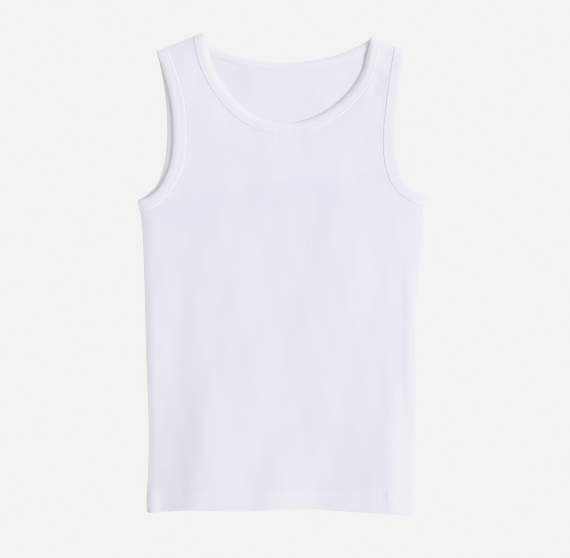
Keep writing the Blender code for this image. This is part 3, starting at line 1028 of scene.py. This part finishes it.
def on_hem(faces, row):
    """The surface along a hem's row of stitches, on a panel's outer face."""

    def surface(places, beside):
        plan = HEM.at(places) + np.stack((np.zeros(len(places)), row + beside), axis=-1)
        outer, _ = faces(plan)
        return np.column_stack((plan, outer))

    return surface


def band_stitches(opening):
    """The row on the front's outer face, and on both faces of the back."""
    edge = ROLL / 2
    sides = ((opening.front, 1.0, 1), (opening.back, 1.0, -1), (opening.back, 0.0, 1))
    return joined_stitches([
        stitches(on_band(bound, level), outward, edge, bound.length - edge)
        for bound, level, outward in sides
    ])


def hem_stitches(faces, outward):
    """Two rows across the hem."""
    edge = ROLL / 2
    return joined_stitches([
        stitches(on_hem(faces, row), outward, edge, HEM.length - edge) for row in HEM_STITCH_ROWS
    ])


# Materials

RIB_PITCH = 1.3
COURSE = 0.95
RIB_RELIEF = 0.010
BAND_RELIEF = 0.009
LOOP_SLANT = 1.4
LOOP_RELIEF = 0.35
FUZZ_RELIEF = 0.8
FUZZ_SCALE = 1.9
BLOTCH_SCALE = 0.045
BLOTCH_DETAIL = 3.0
CLOTH_COLOR = (0.868, 0.876, 0.960)
BAND_COLOR = (0.882, 0.890, 0.966)
WARM_SHARES = (1.0, 0.990, 0.998)
COOL_SHARES = (0.985, 1.006, 1.006)
BLACK = (0.0, 0.0, 0.0, 1.0)
WHITE = (1.0, 1.0, 1.0, 1.0)
BLOTCH_TONES = (0.985, 1.015)
# Painted shade: the knit is a little darker in the grooves between its ribs
RIB_GROOVE_SHADE = (0.997, 1.0)
FUZZ_TONES = (0.98, 1.02)
CLOTH_ROUGHNESS = (0.86, 0.96)
SHEEN = 0.08
SHEEN_ROUGHNESS = 0.5
CLOTH_SPECULAR = 0.25
THREAD_COLOR = (0.88, 0.89, 0.96)
THREAD_SHADE = (0.93, 0.93, 0.93)
THREAD_SCALE = 2600.0
THREAD_RELIEF = 0.05
THREAD_BUMP = 0.6
THREAD_ROUGHNESS = 0.6
THREAD_SPECULAR = 0.35


def tinted(color, shares=(1.0, 1.0, 1.0)):
    """The colour with those shares of its red, green and blue, opaque."""
    return (*(part * share for part, share in zip(color, shares)), 1.0)


class Nodes:
    """Short calls that add and join the nodes of a material or a world."""

    def __init__(self, owner, shader="Principled BSDF"):
        owner.use_nodes = True
        self.owner = owner
        self.tree = owner.node_tree
        self.shader = self.tree.nodes[shader]

    def join(self, socket, value):
        if isinstance(value, bpy.types.NodeSocket):
            self.tree.links.new(value, socket)
        else:
            socket.default_value = value

    def give(self, node, **inputs):
        """Joins or sets inputs by their names, with _ for a space."""
        for name, value in inputs.items():
            self.join(node.inputs[name.replace("_", " ")], value)
        return node

    def add(self, kind, **inputs):
        return self.give(self.tree.nodes.new(kind), **inputs)

    def attribute(self, name, output):
        node = self.add("ShaderNodeAttribute")
        node.attribute_name = name
        return node.outputs[output]

    def math(self, operation, *values, kind="ShaderNodeMath"):
        node = self.add(kind)
        node.operation = operation
        for socket, value in zip(node.inputs, values):
            self.join(socket, value)
        return node.outputs["Value"]

    def wave(self, value, length, shift=0.0):
        """A sine of that length, from -1 to 1."""
        turned = self.math("MULTIPLY", value, 2 * math.pi / length)
        return self.math("SINE", self.math("ADD", turned, shift))

    def noise(self, vector, scale, detail=2.0):
        node = self.add("ShaderNodeTexNoise", Vector=vector, Scale=scale, Detail=detail)
        return node.outputs["Fac"]

    def ramp(self, value, low, high):
        """low where the value is 0 and high where it is 1."""
        return self.add("ShaderNodeMapRange", Value=value, To_Min=low, To_Max=high).outputs["Result"]

    def mix(self, share, first, second):
        """The first colour where the share is 0 and the second where it is 1."""
        node = self.add("ShaderNodeMix")
        node.data_type = "RGBA"
        # Its colours come in at 6 and 7 and go out at 2
        for index, value in ((0, share), (6, first), (7, second)):
            self.join(node.inputs[index], value)
        return node.outputs[2]

    def bump(self, height, strength, distance):
        node = self.add("ShaderNodeBump", Height=height, Strength=strength, Distance=distance * MM)
        return node.outputs["Normal"]


def knit_material(name, color, rib_relief):
    """Fine rib knit.

    The point attribute grain gives places on the cloth, in millimetres, tone
    how light it is, and cool how cool its hue is.
    """
    nodes = Nodes(bpy.data.materials.new(name))
    grain = nodes.attribute("grain", "Vector")
    place = nodes.add("ShaderNodeSeparateXYZ", Vector=grain)
    across, along = place.outputs["X"], place.outputs["Y"]
    blotches = nodes.noise(grain, BLOTCH_SCALE, BLOTCH_DETAIL)
    fuzz = nodes.noise(grain, FUZZ_SCALE)
    rib = nodes.wave(across, RIB_PITCH)
    slant = nodes.math("MULTIPLY", nodes.math("ABSOLUTE", nodes.wave(across, 2 * RIB_PITCH)), LOOP_SLANT)
    ribs = nodes.math("MULTIPLY_ADD", nodes.wave(along, COURSE, slant), LOOP_RELIEF, rib)
    relief = nodes.math("MULTIPLY_ADD", fuzz, FUZZ_RELIEF, ribs)
    shade = nodes.attribute("tone", "Fac")
    # Painted shade from the rib ramp in its grooves, times the blotches' and the fuzz's tone, which
    # differs at random
    for value, tones in ((blotches, BLOTCH_TONES), (rib, RIB_GROOVE_SHADE), (fuzz, FUZZ_TONES)):
        shade = nodes.math("MULTIPLY", shade, nodes.ramp(value, *tones))
    cool = nodes.attribute("cool", "Fac")
    hue = nodes.mix(cool, tinted(color, WARM_SHARES), tinted(color, COOL_SHARES))
    nodes.give(
        nodes.shader,
        Base_Color=nodes.mix(shade, BLACK, hue),
        Normal=nodes.bump(relief, 1.0, rib_relief),
        Roughness=nodes.ramp(fuzz, *CLOTH_ROUGHNESS),
        Sheen_Weight=SHEEN,
        Sheen_Roughness=SHEEN_ROUGHNESS,
        Specular_IOR_Level=CLOTH_SPECULAR,
    )
    return nodes.owner


def thread_material(name):
    """Plied sewing thread."""
    nodes = Nodes(bpy.data.materials.new(name))
    plies = nodes.noise(nodes.add("ShaderNodeTexCoord").outputs["Object"], THREAD_SCALE)
    nodes.give(
        nodes.shader,
        Base_Color=nodes.mix(plies, tinted(THREAD_COLOR, THREAD_SHADE), tinted(THREAD_COLOR)),
        Normal=nodes.bump(plies, THREAD_BUMP, THREAD_RELIEF),
        Roughness=THREAD_ROUGHNESS,
        Specular_IOR_Level=THREAD_SPECULAR,
    )
    return nodes.owner


# Tone and hue: below a faint slanting line across the chest the cloth is a little darker
# and cooler, and further down it is as warm as it is above the line on the right

TONE_LINE = table(
    Point,
    (-151.0, 76.0), (-108.0, 82.0), (-47.5, 90.0), (20.0, 102.0), (97.0, 104.5), (151.0, 106.0),
)
BelowLine = namedtuple("BelowLine", "distance darker cool")
BELOW_LINE = table(
    BelowLine,
    (0.0, 0.026, 1.0),
    (25.0, 0.026, 0.95),
    (55.0, 0.014, 0.75),
    (100.0, 0.014, 0.4),
    (180.0, 0.017, 0.0),
    (230.0, 0.020, 0.0),
)
TONE_BLUR = 3.0
CHEST_TONE = 1.006
RIGHT_LIGHTER = 0.008
RIGHT_STARTS = -20.0
RIGHT_RUN = 50.0
LEFT_STEP = 0.75
STRAP_STARTS = 150.0
STRAP_RUN = 40.0
STRAP_COOL = 0.1
CHEST_COOLER = 0.6
HEM_LIGHTER = 0.01
PLAIN_COOL = 0.4
BACK_TONE = 0.999


def front_tones(points):
    """Tone and coolness of the front at points of its plan."""
    x, y = points.T
    below = np.interp(x, *zip(*TONE_LINE)) - y
    past = smoothstep(below / TONE_BLUR + 0.5)
    right = smoothstep((x - RIGHT_STARTS) / RIGHT_RUN)
    strap = smoothstep((y - STRAP_STARTS) / STRAP_RUN)
    distances, *columns = zip(*BELOW_LINE)
    darker, cool_below = (np.interp(below, distances, column) for column in columns)
    cool_above = STRAP_COOL + CHEST_COOLER * (1 - right) * (1 - strap)
    tone_above = CHEST_TONE + RIGHT_LIGHTER * right
    tone_below = CHEST_TONE - blend(LEFT_STEP, 1.0, right) * darker
    tone = blend(tone_above, tone_below, past) + HEM_LIGHTER * hem_share(points)
    return tone, blend(cool_above, cool_below, past)


# Objects

SHARP_ANGLE = 50.0
Band = namedtuple("Band", "piece node opening tone")
# The tone column is painted light: the right armhole's band, on the lit side, is the lightest and the
# left armhole's the darkest
BANDS = table(
    Band,
    ("neck_band", "neck_binding", NECK, 1.014),
    ("armhole_band_left", "armhole_binding_left", LEFT_ARMHOLE, 1.004),
    ("armhole_band_right", "armhole_binding_right", RIGHT_ARMHOLE, 1.024),
)


def placed(name, data):
    """A new object with that data, in the scene."""
    made = bpy.data.objects.new(name, data)
    bpy.context.scene.collection.objects.link(made)
    return made


def new_object(name, shape, material, tone=1.0, cool=PLAIN_COOL):
    points, faces, grain = shape
    data = bpy.data.meshes.new(name)
    data.from_pydata((points * MM).tolist(), [], faces)
    data.validate()
    grains = data.attributes.new("grain", "FLOAT_VECTOR", "POINT")
    grains.data.foreach_set("vector", np.column_stack((grain, np.zeros(len(grain)))).ravel())
    for kind, values in (("tone", tone), ("cool", cool)):
        shades = data.attributes.new(kind, "FLOAT", "POINT")
        shades.data.foreach_set("value", np.full(len(grain), values, dtype=np.float32))
    data.materials.append(material)
    data.shade_smooth()
    data.set_sharp_from_angle(angle=math.radians(SHARP_ANGLE))
    made = placed(name, data)
    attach(made, "root")
    return made


def declare_panel(layer):
    """Works out the panel's plan outline; nothing is done with it."""
    loop = panel_outline(layer, 0.0)


def build_garment():
    rib = knit_material("rib_knit", CLOTH_COLOR, RIB_RELIEF)
    band = knit_material("binding_knit", BAND_COLOR, BAND_RELIEF)
    thread = thread_material("sewing_thread")
    front_shape = panel_mesh("front", front_faces, FRONT_LATTICE)
    back_shape = panel_mesh("back", back_faces, BACK_LATTICE, BACK_HEM_SETBACK)
    front = new_object("front_cloth", front_shape, rib, *front_tones(front_shape[2]))
    back = new_object("back_cloth", back_shape, rib, BACK_TONE)
    front_sewing = new_object("front_hem_stitches", hem_stitches(front_faces, 1), thread)
    back_sewing = new_object("back_hem_stitches", hem_stitches(back_faces, -1), thread)
    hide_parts("front_panel")
    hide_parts("back_panel")
    declare_panel("back")
    declare_panel("front")
    for name, node, opening, tone in BANDS:
        # The band's tone paints the light that falls from the right
        piece = new_object(name, binding_mesh(opening), band, tone)
        sewing = new_object(name + "_stitches", band_stitches(opening), thread)
        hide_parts(node)


# Stage, light and camera: the floor and the window are in metres, the view in millimetres

FLOOR_SIZE = 40.0
FLOOR_DROP = 0.0002
PLANE_WIDTH = 592.8
VIEW_CENTRE = Point(1.35, -5.5)
CAMERA_HEIGHT = 2500.0
SENSOR = 36.0
CLIP_END = 100.0
WINDOW_AZIMUTH = 2.0
WINDOW_ELEVATION = 26.0
WINDOW_DISTANCE = 3.8
WINDOW_SIZE = 1.17
WINDOW_POWER = 83.3
SKY_STRENGTH = 0.69
SKY_TILT = (0.48, 0.02, 0.0)
FLOOR_COLOR = (0.09, 0.09, 0.09, 1.0)
FLOOR_GLOW = (0.93, 0.93, 0.845, 1.0)
FLOOR_ROUGHNESS = (0.9, 0.95)
FLOOR_GRAIN_SCALE = 30.0

# How bright each lit tone is shown: the photograph's highlights level off
Tone = namedtuple("Tone", "lit shown")
RED_GREEN_TONES = table(
    Tone,
    (0.80, 0.80), (0.85, 0.843), (0.90, 0.868), (0.95, 0.884), (1.0, 0.896),
)
BLUE_TONES = table(Tone, (0.885, 0.885), (0.94, 0.905), (1.0, 0.915))


def build_floor():
    bpy.ops.mesh.primitive_plane_add(size=FLOOR_SIZE, location=(0, 0, -FLOOR_DROP))
    floor = bpy.context.object
    floor.name = "floor"
    nodes = Nodes(bpy.data.materials.new("floor_white"))
    grain = nodes.noise(nodes.add("ShaderNodeTexCoord").outputs["Object"], FLOOR_GRAIN_SCALE)
    nodes.give(
        nodes.shader,
        Roughness=nodes.ramp(grain, *FLOOR_ROUGHNESS),
        Base_Color=FLOOR_COLOR,
        Specular_IOR_Level=0.0,
        Emission_Color=FLOOR_GLOW,
        Emission_Strength=1.0,
    )
    floor.data.materials.append(nodes.owner)


def build_light():
    """One wide window low on the right, and a sky that is brighter on that side."""
    window = bpy.data.lights.new("window", "AREA")
    window.energy = WINDOW_POWER
    window.size = WINDOW_SIZE
    lamp = placed("window", window)
    azimuth, elevation = math.radians(WINDOW_AZIMUTH), math.radians(WINDOW_ELEVATION)
    level = math.cos(elevation)
    towards = Vector((math.cos(azimuth) * level, math.sin(azimuth) * level, math.sin(elevation)))
    lamp.location = WINDOW_DISTANCE * towards
    lamp.rotation_mode = "QUATERNION"
    lamp.rotation_quaternion = towards.to_track_quat("Z", "Y")
    nodes = Nodes(bpy.data.worlds.new("studio"), "Background")
    place = nodes.add("ShaderNodeTexCoord").outputs["Generated"]
    slope = nodes.math("DOT_PRODUCT", place, SKY_TILT, kind="ShaderNodeVectorMath")
    lit = nodes.math("MULTIPLY_ADD", slope, SKY_STRENGTH, SKY_STRENGTH)
    nodes.give(nodes.shader, Strength=lit, Color=WHITE)
    bpy.context.scene.world = nodes.owner


def build_tones():
    view = bpy.context.scene.view_settings
    view.view_transform = "Standard"
    view.look = "None"
    view.use_curve_mapping = True
    for curve, tones in zip(view.curve_mapping.curves, (RED_GREEN_TONES, RED_GREEN_TONES, BLUE_TONES)):
        for tone in tones[:-1]:
            curve.points.new(*tone)
        curve.points[-1].location = tones[-1]
        for point in curve.points:
            point.handle_type = "VECTOR"
    view.curve_mapping.extend = "HORIZONTAL"
    view.curve_mapping.update()


def build_camera():
    """Straight above the garment, as far that the photograph's width spans PLANE_WIDTH."""
    camera = bpy.data.cameras.new("camera")
    camera.sensor_width = SENSOR
    camera.lens = SENSOR * CAMERA_HEIGHT / PLANE_WIDTH
    camera.clip_end = CLIP_END
    holder = placed("camera", camera)
    holder.location = (VIEW_CENTRE.x * MM, VIEW_CENTRE.y * MM, CAMERA_HEIGHT * MM)
    bpy.context.scene.camera = holder


build_camera()
build_floor()
build_light()
build_tones()
build_garment()
